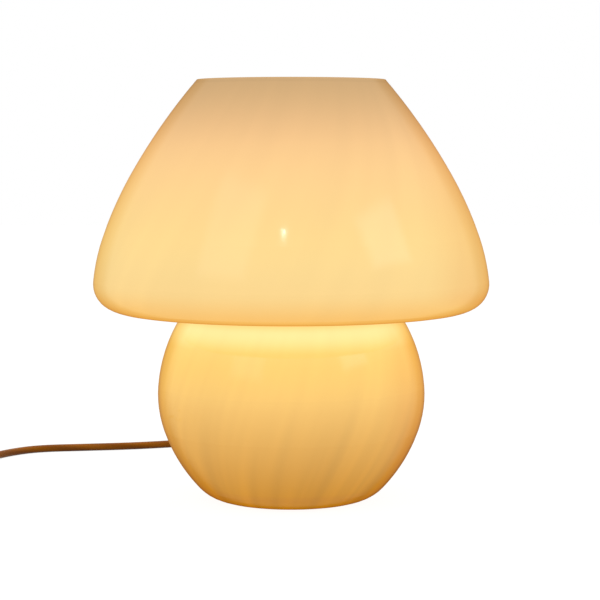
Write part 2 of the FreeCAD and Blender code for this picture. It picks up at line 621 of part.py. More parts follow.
def switch_block():
    """The closed switch: full width in the middle, drawn in towards both ends, edges rounded."""
    half, end, long, belly = SWITCH_WIDTH / 2, SWITCH_END_WIDTH / 2, SWITCH_LENGTH / 2, SWITCH_BELLY / 2
    corners = [V(x, y, 0) for x, y in [(half, -belly), (half, belly), (end, long), (-end, long),
                                       (-half, belly), (-half, -belly), (-end, -long), (end, -long)]]
    block = Part.Face(Part.makePolygon(corners + corners[:1])).extrude(V(0, 0, SWITCH_HEIGHT))
    upright = [e for e in block.Edges if e.BoundBox.ZLength > SWITCH_HEIGHT - 1]
    block = block.makeFillet(9.0, [e for e in upright if e.BoundBox.XMax > half - 1
                                   or e.BoundBox.XMin < 1 - half])
    rim = [e for e in block.Edges if e.BoundBox.ZLength < 0.01]
    return block.makeFillet(SWITCH_ROUNDING, rim)


def switch_screw_places():
    return [(SWITCH_SCREW_X, SWITCH_SCREW_Y), (-SWITCH_SCREW_X, -SWITCH_SCREW_Y)]


def placed_switch(shape):
    shape.translate(V(SWITCH_X, SWITCH_BACK_Y - SWITCH_LENGTH / 2, 0))
    return shape


def middle_box(wide, long, low, high):
    return Part.makeBox(wide, long, high - low, V(-wide / 2, -long / 2, low))


def switch_base(block):
    """The lower half: a trough for the contacts, and two countersunk holes."""
    parting = SWITCH_HEIGHT / 2
    body = block.common(middle_box(90, 90, 0, parting))
    body = body.cut(middle_box(13.0, 40.0, SWITCH_WALL, parting))
    for x, y in switch_screw_places():
        body = body.cut(Part.makeCylinder(2.1, 2.4, V(x, y, 0)))
        body = body.cut(Part.makeCylinder(1.2, parting, V(x, y, 0)))
    return placed_switch(body)


def switch_cover(block):
    """The upper half: a well for the rocker with two holes for its axle, and a chamber at each end."""
    parting = SWITCH_HEIGHT / 2
    body = block.common(middle_box(90, 90, parting, SWITCH_HEIGHT))
    body = body.cut(middle_box(ROCKER_WIDTH + 2 * ROCKER_GAP, ROCKER_WELL, parting, SWITCH_HEIGHT))
    for side in (-1, 1):
        chamber = middle_box(11.0, 7.0, parting, SWITCH_HEIGHT - 2 * SWITCH_WALL)
        chamber.translate(V(0, side * 16.0, 0))
        body = body.cut(chamber)
    axle = Part.makeCylinder(AXLE_RADIUS + AXLE_GAP, ROCKER_WIDTH + 4.0,
                             V(-ROCKER_WIDTH / 2 - 2.0, 0, ROCKER_PIVOT), X_AXIS)
    body = body.cut(axle)
    for x, y in switch_screw_places():
        body = body.cut(Part.makeCylinder(1.2, 4.0, V(x, y, parting)))
    return placed_switch(body)


def switch_rocker():
    """The rocker at rest in the on position: two flats in a shallow V, with three grip grooves each."""
    half, low, rise = ROCKER_LENGTH / 2, -2.6, math.tan(math.radians(ROCKER_TILT)) * ROCKER_LENGTH / 2
    top = 3.2
    side = [(0, top), (half, top + rise), (half, -1.5), (3.0, low), (-3.0, low), (-half, -1.5),
            (-half, top + rise)]
    points = [V(-ROCKER_WIDTH / 2, y, z) for y, z in side]
    body = Part.Face(Part.makePolygon(points + points[:1])).extrude(V(ROCKER_WIDTH, 0, 0))
    for sign in (-1, 1):
        for k in range(3):
            along = sign * (3.2 + 1.9 * k)
            height = top + abs(along) / half * rise + 0.25
            groove = Part.makeCylinder(0.55, ROCKER_WIDTH - 3.0, V(1.5 - ROCKER_WIDTH / 2, along, height),
                                       X_AXIS)
            body = body.cut(groove)
    axle = Part.makeCylinder(AXLE_RADIUS, ROCKER_WIDTH + 3.6, V(-ROCKER_WIDTH / 2 - 1.8, 0, 0), X_AXIS)
    body = body.fuse(axle).removeSplitter()
    body.rotate(V(0, 0, 0), X_AXIS, -ROCKER_TILT)
    body.translate(V(0, 0, ROCKER_PIVOT))
    return placed_switch(body)


def switch_screws():
    screws = []
    for x, y in switch_screw_places():
        head = Part.makeCylinder(2.1, 1.6, V(x, y, 0.8))
        slot = middle_box(4.4, 0.7, 0.8, 1.4)
        slot.translate(V(x, y, 0))
        shank = Part.makeCylinder(1.2, 9.4, V(x, y, 2.4))
        screws.append(head.fuse(shank).cut(slot))
    return placed_switch(Part.makeCompound(screws))


def switch_contacts():
    """Two terminal blocks on the trough's floor, each with its bent contact strip."""
    pieces = []
    for side in (-1, 1):
        block = middle_box(6.0, 5.0, SWITCH_WALL, SWITCH_WALL + 5.0)
        block.translate(V(0, side * 16.0, 0))
        strip = middle_box(4.0, 9.0, SWITCH_WALL, SWITCH_WALL + 0.7)
        strip.translate(V(0, side * 9.0, 0))
        stud = Part.makeCylinder(1.4, 1.6, V(0, side * 6.2, SWITCH_WALL + 0.7))
        pieces.append(block.fuse([strip, stud]).removeSplitter())
    return placed_switch(Part.makeCompound(pieces))


# ---------------------------------------------------------------- plug

def rounded_section(wide, thick, corner, along):
    """A rectangle with round corners, square to the plug's length."""
    x, z = wide / 2 - corner, thick / 2 - corner
    edges, last = [], None
    for k, (sx, sz) in enumerate([(1, -1), (1, 1), (-1, 1), (-1, -1)]):
        centre = V(sx * x, along, sz * z)
        first, half_way, second = (V(math.cos(math.radians(a)), 0, math.sin(math.radians(a)))
                                   for a in (90 * k - 90, 90 * k - 45, 90 * k))
        start, end = centre + first * corner, centre + second * corner
        if last is not None:
            edges.append(Part.makeLine(last, start))
        edges.append(Part.Arc(start, centre + half_way * corner, end).toShape())
        last = end
    opening = edges[0]
    edges.append(Part.makeLine(last, opening.valueAt(opening.FirstParameter)))
    return Part.Wire(edges)


def placed_plug(shape):
    shape.translate(V(PLUG_X, PLUG_TAIL_Y, PLUG_THICKNESS / 2 + 0.1))
    return shape


def plug_relief():
    """The plug's ribbed bend relief, turned about its length."""
    rib = PLUG_RELIEF_LENGTH / PLUG_RIBS
    points = [(0, 0)]
    for k in range(PLUG_RIBS):
        near = PLUG_RELIEF_NARROW + (PLUG_RELIEF_WIDE - PLUG_RELIEF_NARROW) * k / PLUG_RIBS
        far = PLUG_RELIEF_NARROW + (PLUG_RELIEF_WIDE - PLUG_RELIEF_NARROW) * (k + 0.7) / PLUG_RIBS
        points += [(near, rib * k), (far, rib * (k + 0.7)), (far - 0.8, rib * (k + 0.7)),
                   (far - 0.8, rib * (k + 1))]
    points.append((0, PLUG_RELIEF_LENGTH))
    body = turned(outline(points))
    body.rotate(V(0, 0, 0), X_AXIS, -90)
    return body


def plug_body():
    """A flat moulded body that widens towards the pins, in one with its bend relief."""
    grip, face = PLUG_RELIEF_LENGTH + PLUG_TAPER, PLUG_RELIEF_LENGTH + PLUG_BODY_LENGTH
    wide, thick = PLUG_WIDTH, PLUG_THICKNESS
    sections = [rounded_section(0.37 * wide, 0.85 * thick, 4.5, PLUG_RELIEF_LENGTH),
                rounded_section(0.68 * wide, 0.95 * thick, 5.0, PLUG_RELIEF_LENGTH + PLUG_TAPER / 2),
                rounded_section(wide, thick, 5.5, grip)]
    taper = Part.makeLoft(sections, True, False)
    block = Part.Face(sections[-1]).extrude(V(0, face - grip, 0))
    block = block.makeFillet(1.0, [e for e in block.Edges if e.BoundBox.YMin > face - 0.01])
    body = taper.fuse([block, plug_relief()])
    for side in (-1, 1):
        seat = Part.makeCylinder(PIN_CORE_RADIUS, PIN_ROOT, V(side * PIN_SPACING / 2, face - PIN_ROOT, 0),
                                 Y_AXIS)
        body = body.cut(seat)
    return placed_plug(body)


def plug_pins():
    """Two round pins: a thin root inside the collar and a full tip with a rounded end."""
    face = PLUG_RELIEF_LENGTH + PLUG_BODY_LENGTH
    pins = []
    for side in (-1, 1):
        x = side * PIN_SPACING / 2
        root = Part.makeCylinder(PIN_CORE_RADIUS, PIN_ROOT + PIN_COLLAR_LENGTH,
                                 V(x, face - PIN_ROOT, 0), Y_AXIS)
        tip = Part.makeCylinder(PIN_RADIUS, PIN_LENGTH - PIN_COLLAR_LENGTH,
                                V(x, face + PIN_COLLAR_LENGTH, 0), Y_AXIS)
        tip = tip.makeFillet(PIN_END, [e for e in tip.Edges if e.BoundBox.YMin > face + PIN_LENGTH - 0.01])
        pins.append(root.fuse(tip).removeSplitter())
    return placed_plug(Part.makeCompound(pins))


def plug_collars():
    face = PLUG_RELIEF_LENGTH + PLUG_BODY_LENGTH
    collars = []
    for side in (-1, 1):
        place = V(side * PIN_SPACING / 2, face, 0)
        collar = Part.makeCylinder(PIN_COLLAR_RADIUS, PIN_COLLAR_LENGTH, place, Y_AXIS)
        collars.append(collar.cut(Part.makeCylinder(PIN_CORE_RADIUS, PIN_COLLAR_LENGTH, place, Y_AXIS)))
    return placed_plug(Part.makeCompound(collars))


# ---------------------------------------------------------------- the lamp

def build_stack(seats):
    save("bottom_nut", hexagon_nut(seats["nut"]))
    save("lower_washer", tube(WASHER_RADIUS, FOOT_HOLE_RADIUS, seats["washer"], SHEET))
    save("lower_gasket", tube(GASKET_RADIUS, FOOT_HOLE_RADIUS, seats["gasket"], SHEET))
    save("upper_gasket", tube(SPREADER_RADIUS, FOOT_HOLE_RADIUS, seats["floor"], SHEET))
    save("spreader_disc", tube(SPREADER_RADIUS, FOOT_HOLE_RADIUS, seats["spreader"], SHEET))
    low, top = seats["nut"] - 0.5, seats["coupler"] + COUPLER_THREAD_DEPTH
    save("bottom_nipple", tube(THREAD_RADIUS, THREAD_BORE, low, top - low))
    save("outlet_coupler", outlet_coupler(seats["coupler"]))
    save("outlet_bush", outlet_bush(seats["coupler"]))
    top = seats["collar"] + COLLAR_HEIGHT + HOLDER_WALL
    low = seats["collar"] - NIPPLE_SHOWS - 3.0
    save("upper_nipple", tube(THREAD_RADIUS, THREAD_BORE, low, top - low))


def build_holder(seats):
    insert_top = BULB_SEAT - CONTACT_GAP - 1.0
    save("holder_collar", holder_collar(seats["collar"]))
    save("holder_dome", holder_dome(seats["collar"]))
    save("dome_grub_screw", dome_grub_screw(seats["collar"]))
    save("holder_skirt", holder_skirt(seats["collar"] + DOME_STEP))
    save("holder_insert", holder_insert(insert_top, seats["collar"] + DOME_TOP))
    save("screw_shell", screw_shell(insert_top))
    save("centre_contact", tube(CONTACT_RADIUS, 0, insert_top, 1.0))
    post_low = insert_top - INSERT_HEIGHT - TERMINAL_BLOCK[2] / 2
    save("terminal_posts", terminal_posts(post_low + TERMINAL_BLOCK[2]))
    return post_low


def build_bulb():
    save("bulb_glass", bulb_envelope(0.0).cut(bulb_envelope(BULB_WALL)))
    save("bulb_cap", bulb_cap())
    save("bulb_insulator", bulb_insulator())
    save("bulb_tip", bulb_tip())
    stem, filament = bulb_stem(), bulb_filament()
    save("bulb_stem", stem)
    save("bulb_supports", bulb_supports(stem, filament))
    save("bulb_filament", filament)


def build_lead(glass, seats, post_low):
    save("cable_grommet", cable_grommet(glass))
    save("cord_stop", cord_stop())
    save("inner_lead", inner_lead(seats))
    save("lead_cores", lead_cores(seats, post_low))
    for name, route in (("cord_lead", lamp_to_switch_route()), ("cord_link", switch_to_coil_route()),
                        ("cord_tail", coil_to_plug_route())):
        save(name, round_cord(soft_path(route, name), LEAD_DIAMETER, name))
    path = coil_path()
    print("coil least gap to itself %.2f" % least_gap(path, LEAD_DIAMETER))
    save("cord_coil", round_cord(path, LEAD_DIAMETER, "cord_coil"))


def build_switch():
    block = switch_block()
    save("switch_base", switch_base(block))
    save("switch_cover", switch_cover(block))
    save("switch_rocker", switch_rocker())
    save("switch_screws", switch_screws())
    save("switch_contacts", switch_contacts())


def main():
    os.makedirs("parts", exist_ok=True)
    glass = glass_body()
    seats = stack_heights()
    save("glass_body", glass)
    build_stack(seats)
    post_low = build_holder(seats)
    build_bulb()
    build_lead(glass, seats, post_low)
    build_switch()
    save("plug_body", plug_body())
    save("plug_pins", plug_pins())
    save("plug_collars", plug_collars())


main()
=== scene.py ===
"""Dresses the mushroom table lamp: blown opal glass lit from inside, holder, bulb, lead, switch and plug.

Metres, +Z up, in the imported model's own frame: the origin is on the table under the lamp's axis, and
the front looks along -Y.
"""
import math
import bpy
import numpy as np
from bpy.props import FloatProperty, FloatVectorProperty, IntProperty, PointerProperty
from mathutils import Euler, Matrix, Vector


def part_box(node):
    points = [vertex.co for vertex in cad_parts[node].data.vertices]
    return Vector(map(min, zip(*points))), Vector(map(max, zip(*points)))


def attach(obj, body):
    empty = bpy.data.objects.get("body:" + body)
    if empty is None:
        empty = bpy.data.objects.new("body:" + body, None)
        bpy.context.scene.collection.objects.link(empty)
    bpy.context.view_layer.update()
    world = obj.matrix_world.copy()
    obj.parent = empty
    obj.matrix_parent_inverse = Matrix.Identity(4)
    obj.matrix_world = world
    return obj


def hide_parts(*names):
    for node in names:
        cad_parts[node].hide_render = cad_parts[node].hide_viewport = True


bl_info = {
    "name": "Mushroom table lamp",
    "version": (1, 0, 0),
    "blender": (4, 5, 0),
    "location": "3D View > Sidebar > Lamp",
    "description": "Glass, holder, bulb, lead, switch and plug of a mushroom table lamp",
    "category": "Object",
}

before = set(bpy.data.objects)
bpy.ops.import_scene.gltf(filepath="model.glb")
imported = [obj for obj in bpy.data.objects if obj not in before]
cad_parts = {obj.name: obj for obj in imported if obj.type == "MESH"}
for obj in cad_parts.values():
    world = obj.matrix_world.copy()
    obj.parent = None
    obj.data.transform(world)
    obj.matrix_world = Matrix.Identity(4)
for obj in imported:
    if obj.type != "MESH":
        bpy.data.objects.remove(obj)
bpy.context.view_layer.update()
MM = 0.001
WHITE = (1, 1, 1, 1)

# Heights of the lead's axis, in mm: in the end of the grommet, lying on the table, on the coil's upper
# layer, in the ends of the switch and in the end of the plug.
IN_GROMMET, LYING, COIL_LAYER, IN_SWITCH, IN_PLUG = 14.5, 2.85, 6.0, 8.0, 6.95
ON_COIL = LYING + COIL_LAYER

# The lead's route on the table: the model's own points, moved a few millimetres where the lead is seen.
# They are control points of two smooth lines, one to the switch and one from it by the coil to the plug.
LEAD_TO_SWITCH = np.array([
    (0, 97.9, IN_GROMMET), (0, 118.1, LYING), (-2, 150, LYING), (-14, 184, LYING), (-42, 211, LYING),
    (-76, 218, LYING), (-117, 202, LYING), (-153, 195, LYING), (-190, 189, LYING), (-209, 171, LYING),
    (-222, 146, LYING), (-234, 119, LYING), (-240, 93, IN_SWITCH), (-240, 71, IN_SWITCH)]) * MM
SWITCH_TO_COIL = np.array([
    (-240, 9, IN_SWITCH), (-240, -8, IN_SWITCH), (-241.5, -33, LYING), (-241.5, -56.5, LYING)]) * MM
COIL_TO_PLUG = np.array([
    (-328.5, -56.5, ON_COIL), (-328.5, -42, ON_COIL), (-331, -26, IN_PLUG), (-331, -8, IN_PLUG)]) * MM
COIL_CENTRE = np.array([-285.0, -62.0]) * MM
COIL_OUTER, COIL_INNER = 43.5 * MM, 21.3 * MM
COIL_HALF_TURNS = 13                # six in, one climbing, six out
COIL_STEPS = 8                      # control points for each half turn

# The standard 27 mm screw thread, rolled in sheet.
THREAD_PITCH, THREAD_DEPTH = 3.62 * MM, 0.8 * MM
THREAD_SIDES = 72
THREAD_STEPS = 8                    # points for each pitch, up a wall

# The glow of the glass: heights in mm and the colours of LampGlass that lie there, from the bottom up.
BASE_SPAN = (0, 130)
BASE_GLOW = [(12, "foot"), (68, "belly"), (103, "waist"), (115, "shoulder"), (123, "roll")]
CAP_SPAN = (120, 273)
CAP_GLOW = [(126, "roll"), (142, "brow"), (182, "brow"), (232, "crown"), (270, "rim")]
# Radius plus height, in mm, up to which the glow is all the base's, and from which it is all the cap's.
BASE_REACH, CAP_REACH = 196, 214

# The streaks in the glass: the height in mm from which they are faintest, and what is left of them there.
STREAKS_FADED, STREAKS_LEFT = 115, 0.2

# How far the wall is turned away, from 0 face on to 1 edge-on: where the gloss begins and ends to fade,
# and where the glow is still whole, is turning, and is at the limb. The cap turns a little later.
GLOSS_FADES = (0.1, 0.7)
GLOW_TURNS = (0.55, 0.78, 0.92)
CAP_TURNS_LATER = 0.07

# How far the wall looks to the right, from 0 not at all to 1 fully, where the painted shade on its right side
# begins and ends: that side's glow is drawn darker, as if less room light fell on it.
PAINTED_SHADE_SPAN = (0.6, 0.88)

# Widths and heights of small unevenness: the blower's hand in the glass, a tool's marks on metal, and the
# grain of a mould. The last two are finer on the real pieces and drawn as coarse as they need to show.
HAND_WIDTH, HAND_HEIGHT = 45 * MM, 0.25 * MM
TOOL_MARK_WIDTH, TOOL_MARK_HEIGHT = 0.4 * MM, 0.01 * MM
MOULD_GRAIN_WIDTH, MOULD_GRAIN_HEIGHT = 1.2 * MM, 0.02 * MM
CORES = 2                           # in the lead

# The pieces of dark moulded plastic on the lead, and how dark their grain is beside their colour.
MOULDINGS = ("switch_base", "switch_cover", "switch_rocker", "plug_body")
MOULDING_GRAIN = 0.85

# The stage. Each lamp has its degrees aside of the front and above it, metres from LIT_POINT, width and
# height in metres, power in watts, soft share of its half width, and whether a gloss mirrors it.
LIT_POINT = (0, 0, 0.16)
LAMPS = {
    "right_softbox": (61, 29, 1.6, (0.9, 0.75), 4.3, 0.45, True),
    "left_softbox": (-40, 33, 1.8, (1.1, 1.5), 5.5, 0.4, True),
    "small_lamp": (-4, 36.8, 1.5, (0.055, 0.025), 0.4, 0.3, True),
    "overhead": (180, 75, 1.6, (1.0, 1.0), 8, 0.5, False),
}
FLOOR_HALF = 4.0                    # metres
FLOOR_LEVEL = 0.93                  # how light the paper is by itself, a shade under white
FLOOR_LIT = 0.16                    # how much of the lamps' light it adds, which draws the shadow
SENSOR_WIDTH = 36.0                 # millimetres, as the lens


def linear(code):
    """An sRGB hex colour as linear red, green, blue and alpha: the sRGB curve undone for each channel."""
    parts = np.array([int(code[k:k + 2], 16) for k in (1, 3, 5)]) / 255
    straight = np.where(parts <= 0.04045, parts / 12.92, ((parts + 0.055) / 1.055) ** 2.4)
    return (*straight.tolist(), 1.0)


def colour(name, code, description):
    """A colour that a user can change, with its default as an sRGB hex colour."""
    return FloatVectorProperty(name=name, description=description, subtype="COLOR", size=4, min=0, max=1,
                               default=linear(code))


# ---------------------------------------------------------------- what a user would change

class LampGlass(bpy.types.PropertyGroup):
    """Colours, streaks and surface of the glass"""
    body: colour("Body", "#8F7C5C", "Colour of the opal glass by day")
    rim: colour("Rim glow", "#AB8456", "Light through the open top's rim")
    crown: colour("Crown glow", "#DDAE73", "Light through the cap's upper slope")
    brow: colour("Brow glow", "#E8C47B", "Light through the cap beside the bulb")
    roll: colour("Roll glow", "#F1B95E", "Light through the cap's lower edge")
    shoulder: colour("Shoulder glow", "#F8E29A", "Light through the base just under the cap")
    waist: colour("Waist glow", "#F0C96C", "Light through the base above its middle")
    belly: colour("Belly glow", "#E2B056", "Light through the middle of the base")
    foot: colour("Foot glow", "#C08000", "Light through the base near the table")
    turn: colour("Turn", "#EEDEBC", "What is left of the glow where the wall turns away")
    limb: colour("Limb", "#C5ADA2", "What is left of the glow where the wall is seen edge-on")
    # Painted shade: the glow is drawn darker on the right side, as if less room light fell on it there.
    painted_right_shade: colour("Thick side", "#FAECDD", "What is left of the glow at the right, where the wall is thicker")
    streaks: IntProperty(name="Streaks", description="Swirl streaks round the body", default=40, min=1)
    swirl: FloatProperty(name="Swirl", description="Turn of the streaks in radians per metre of height",
                         default=3.6)
    streak_depth: FloatProperty(name="Streak depth", description="How strongly the streaks show in the foot",
                                default=0.55, min=0, max=1)
    gloss: FloatProperty(name="Gloss", description="Specular level where the wall faces the eye",
                         default=0.3, min=0, max=1)
    roughness: FloatProperty(name="Roughness", description="Fire-polished glass is near zero",
                             default=0.1, min=0, max=1)


class LampLead(bpy.types.PropertyGroup):
    """Size and colours of the lead, and the colour of its switch and plug"""
    diameter: FloatProperty(name="Diameter", description="Outside of the round lead", unit="LENGTH",
                            default=5.5 * MM, min=2 * MM)
    sheath: colour("Sheath", "#A46206", "Amber plastic of the lead")
    core: colour("Core", "#8C5004", "Darker cores that show through it")
    lay: FloatProperty(name="Lay", description="Length in which the two cores change places", unit="LENGTH",
                       default=45 * MM)
    moulded: colour("Mouldings", "#5A3010", "Switch and plug")


class LampStudio(bpy.types.PropertyGroup):
    """Camera and even light"""
    lens: FloatProperty(name="Lens", description="Focal length in millimetres", default=120.0)
    distance: FloatProperty(name="Distance", description="Camera's distance in front of the lamp's axis",
                            unit="LENGTH", default=1.299)
    height: FloatProperty(name="Height", description="Camera's height over the table", unit="LENGTH",
                          default=0.2365)
    aside: FloatProperty(name="Aside", description="Camera's place to the right of the axis", unit="LENGTH",
                         default=0.0057)
    pitch: FloatProperty(name="Pitch", description="How far the camera looks down", subtype="ANGLE",
                         default=math.radians(4.68))
    ambient: FloatProperty(name="Ambient", description="Even light from all round", default=0.65, min=0)


# ---------------------------------------------------------------- materials

def add(tree, kind, values=None, stops=(), easing="LINEAR", **properties):
    """Adds one node with its settings and links.

    values gives each input a number, a colour or another node's output. A colour ramp also has stops,
    which are (share, colour) in rising order, and the easing between them.
    """
    made = tree.nodes.new("ShaderNode" + kind)
    for name, value in properties.items():
        setattr(made, name, value)
    for name, value in (values or {}).items():
        socket = made.inputs[name]
        if isinstance(value, bpy.types.NodeSocket):
            tree.links.new(value, socket)
        else:
            socket.default_value = value
    if stops:
        made.color_ramp.interpolation = easing
        places = made.color_ramp.elements
        while len(places) < len(stops):
            places.new(0.5)
        for place, (at, shade) in zip(places, stops):
            place.position, place.color = at, shade
    return made


def finish_of(name, base, roughness, **sockets):
    """A new material with one Principled shader; returns the material, its tree and the shader."""
    made = bpy.data.materials.new(name)
    made.use_nodes = True
    tree = made.node_tree
    shader = tree.nodes["Principled BSDF"]
    shader.inputs["Base Color"].default_value = base
    shader.inputs["Roughness"].default_value = roughness
    for key, value in sockets.items():
        shader.inputs[key.replace("_", " ")].default_value = value
    return made, tree, shader


def paint(material, *nodes):
    """Gives CAD nodes one material."""
    for name in nodes:
        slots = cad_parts[name].data.materials
        slots.clear()
        slots.append(material)


def grain(tree, shader, dark, light, width, height):
    """Fine noise whose features are width across: it goes from dark to light and is height high."""
    place = add(tree, "TexCoord").outputs["Object"]
    noise = add(tree, "TexNoise", {"Vector": place, "Scale": 1 / width, "Detail": 3.0}).outputs["Fac"]
    shade = add(tree, "ValToRGB", {"Fac": noise}, [(0.3, dark), (0.7, light)]).outputs["Color"]
    tree.links.new(shade, shader.inputs["Base Color"])
    relief = add(tree, "Bump", {"Height": noise, "Strength": 0.5, "Distance": height})
    tree.links.new(relief.outputs["Normal"], shader.inputs["Normal"])


def metal(name, dark, light, roughness):
    """A bare or plated metal with the marks of its tool."""
    made, tree, shader = finish_of(name, light, roughness, Metallic=1.0)
    grain(tree, shader, dark, light, TOOL_MARK_WIDTH, TOOL_MARK_HEIGHT)
    return made


def plastic(name, dark, light, roughness, **sockets):
    """A moulded plastic, rubber or ceramic: nearly one colour, with the mould's fine grain."""
    made, tree, shader = finish_of(name, light, roughness, **sockets)
    grain(tree, shader, dark, light, MOULD_GRAIN_WIDTH, MOULD_GRAIN_HEIGHT)
    return made


def glow_by_height(tree, look, height, span, stops):
    """The glow's colour at each height, eased between the stops of a table such as BASE_GLOW."""
    low, high = span
    share = add(tree, "MapRange", {"Value": height, "From Min": low * MM, "From Max": high * MM})
    shades = [((at - low) / (high - low), getattr(look, name)) for at, name in stops]
    return add(tree, "ValToRGB", {"Fac": share.outputs["Result"]}, shades, "CARDINAL").outputs["Color"]


def drawn_streaks(tree, look, parts):
    """What the streaks leave of the glow, a little under and over 1.

    It is noise at the point (cosine, sine, height) of an angle that is the one round the axis less swirl
    times height, so the streaks are narrow round the body, long up it, and turn as they rise. They show
    most in the foot, where the glass was gathered.
    """
    height = parts["Z"]
    angle = add(tree, "Math", {0: parts["Y"], 1: parts["X"]}, operation="ARCTAN2").outputs[0]
    angle = add(tree, "Math", {0: height, 1: -look.swirl, 2: angle}, operation="MULTIPLY_ADD").outputs[0]
    cosine = add(tree, "Math", {0: angle}, operation="COSINE").outputs[0]
    sine = add(tree, "Math", {0: angle}, operation="SINE").outputs[0]
    place = add(tree, "CombineXYZ", {"X": cosine, "Y": sine, "Z": height}).outputs[0]
    noise = add(tree, "TexNoise", {"Vector": place, "Scale": look.streaks / (2 * math.pi), "Detail": 1.5,
                                   "Roughness": 0.4}).outputs["Fac"]
    streak = add(tree, "Math", {0: noise, 1: 0.5}, operation="SUBTRACT").outputs[0]
    depth = add(tree, "MapRange", {"Value": height, "From Max": STREAKS_FADED * MM,
                                   "To Min": look.streak_depth,
                                   "To Max": look.streak_depth * STREAKS_LEFT}).outputs["Result"]
    return add(tree, "Math", {0: streak, 1: depth, 2: 1.0}, operation="MULTIPLY_ADD").outputs[0]


def blown_opal_glass(look):
    """Blown opal glass: fire-polished, milky, with drawn streaks; it scatters the bulb's light evenly.

    The glow goes by height: the cap takes the bulb's side, its crown only what spills upwards, and the
    base what comes down the neck. Cap and base are told apart by radius plus height, and the one goes
    over into the other in the neck, which the cap hides. The streaks, a painted shade that darkens the
    right side and the turn to edge-on each take their share of the glow.
    """
    made, tree, shader = finish_of("blown_opal_glass", look.body, look.roughness, IOR=1.5,
                                   Emission_Strength=1.0)
    place = add(tree, "TexCoord").outputs
    parts = add(tree, "SeparateXYZ", {0: place["Object"]}).outputs
    height = parts["Z"]
    across = add(tree, "CombineXYZ", {"X": parts["X"], "Y": parts["Y"]}).outputs[0]
    radius = add(tree, "VectorMath", {0: across}, operation="LENGTH").outputs["Value"]
    reach = add(tree, "Math", {0: radius, 1: height}, operation="ADD").outputs[0]
    on_cap = add(tree, "MapRange", {"Value": reach, "From Min": BASE_REACH * MM,
                                    "From Max": CAP_REACH * MM}).outputs["Result"]
    base = glow_by_height(tree, look, height, BASE_SPAN, BASE_GLOW)
    cap = glow_by_height(tree, look, height, CAP_SPAN, CAP_GLOW)
    glow = add(tree, "Mix", {0: on_cap, "A": base, "B": cap}, data_type="RGBA").outputs["Result"]

    streaks = drawn_streaks(tree, look, parts)
    # Painted shade: where the wall looks to the right its glow is drawn darker, as if less room light fell
    # there.
    right = add(tree, "SeparateXYZ", {0: place["Normal"]}).outputs["X"]
    painted_right_shade = add(tree, "ValToRGB", {"Fac": right}, list(zip(PAINTED_SHADE_SPAN, (WHITE, look.painted_right_shade))),
                "EASE").outputs["Color"]
    edge_on = add(tree, "LayerWeight", {"Blend": 0.5}).outputs["Facing"]
    turned = add(tree, "Math", {0: on_cap, 1: -CAP_TURNS_LATER, 2: edge_on},
                 operation="MULTIPLY_ADD").outputs[0]
    limb = add(tree, "ValToRGB", {"Fac": turned},
               list(zip(GLOW_TURNS, (WHITE, look.turn, look.limb)))).outputs["Color"]
    for share in (streaks, painted_right_shade, limb):
        glow = add(tree, "VectorMath", {0: glow, 1: share}, operation="MULTIPLY").outputs[0]
    tree.links.new(glow, shader.inputs["Emission Color"])

    # The gloss goes where the wall turns away, or the pale surroundings would veil the glow there.
    full, none = GLOSS_FADES
    gloss = add(tree, "MapRange", {"Value": edge_on, "From Min": full, "From Max": none,
                                   "To Min": look.gloss, "To Max": 0.0}, interpolation_type="SMOOTHSTEP")
    tree.links.new(gloss.outputs["Result"], shader.inputs["Specular IOR Level"])

    hand = add(tree, "TexNoise", {"Vector": place["Object"], "Scale": 1 / HAND_WIDTH, "Detail": 1.0})
    relief = add(tree, "Bump", {"Height": hand.outputs["Fac"], "Strength": 1.0, "Distance": HAND_HEIGHT})
    tree.links.new(relief.outputs["Normal"], shader.inputs["Normal"])
    return made


def frosted_bulb_glass():
    """Inside-frosted bulb glass: a smooth skin over a warm glow that is least where it is seen edge-on."""
    made, tree, shader = finish_of("frosted_bulb_glass", linear("#B8AC98"), 0.3, Emission_Strength=0.75)
    edge_on = add(tree, "LayerWeight", {"Blend": 0.5}).outputs["Facing"]
    glow = add(tree, "ValToRGB", {"Fac": edge_on}, [(0.1, linear("#FFEBC0")), (0.9, linear("#F0B468"))])
    tree.links.new(glow.outputs["Color"], shader.inputs["Emission Color"])
    return made


def amber_lead_sheath(look):
    """Extruded amber PVC, soft and half clear, over two twisted cores that show through it.

    The cores are slow darker bands, one for each of them in a turn: the share of the sheath's own colour
    is half of 1 plus the sine of 2 pi times (cores times the share of the turn, plus length over lay).
    """
    made, tree, shader = finish_of("extruded_amber_pvc", look.sheath, 0.4, IOR=1.52, Specular_IOR_Level=0.15)
    run = add(tree, "UVMap", uv_map="run")
    parts = add(tree, "SeparateXYZ", {0: run.outputs["UV"]}).outputs
    twist = add(tree, "Math", {0: parts["X"], 1: 2 * math.pi / look.lay}, operation="MULTIPLY").outputs[0]
    turn = add(tree, "Math", {0: parts["Y"], 1: 2 * math.pi * CORES, 2: twist},
               operation="MULTIPLY_ADD").outputs[0]
    band = add(tree, "Math", {0: turn}, operation="SINE").outputs[0]
    share = add(tree, "Math", {0: band, 1: 0.5, 2: 0.5}, operation="MULTIPLY_ADD").outputs[0]
    mixed = add(tree, "Mix", {0: share, "A": look.core, "B": look.sheath}, data_type="RGBA")
    tree.links.new(mixed.outputs["Result"], shader.inputs["Base Color"])
    return made


# ---------------------------------------------------------------- meshes

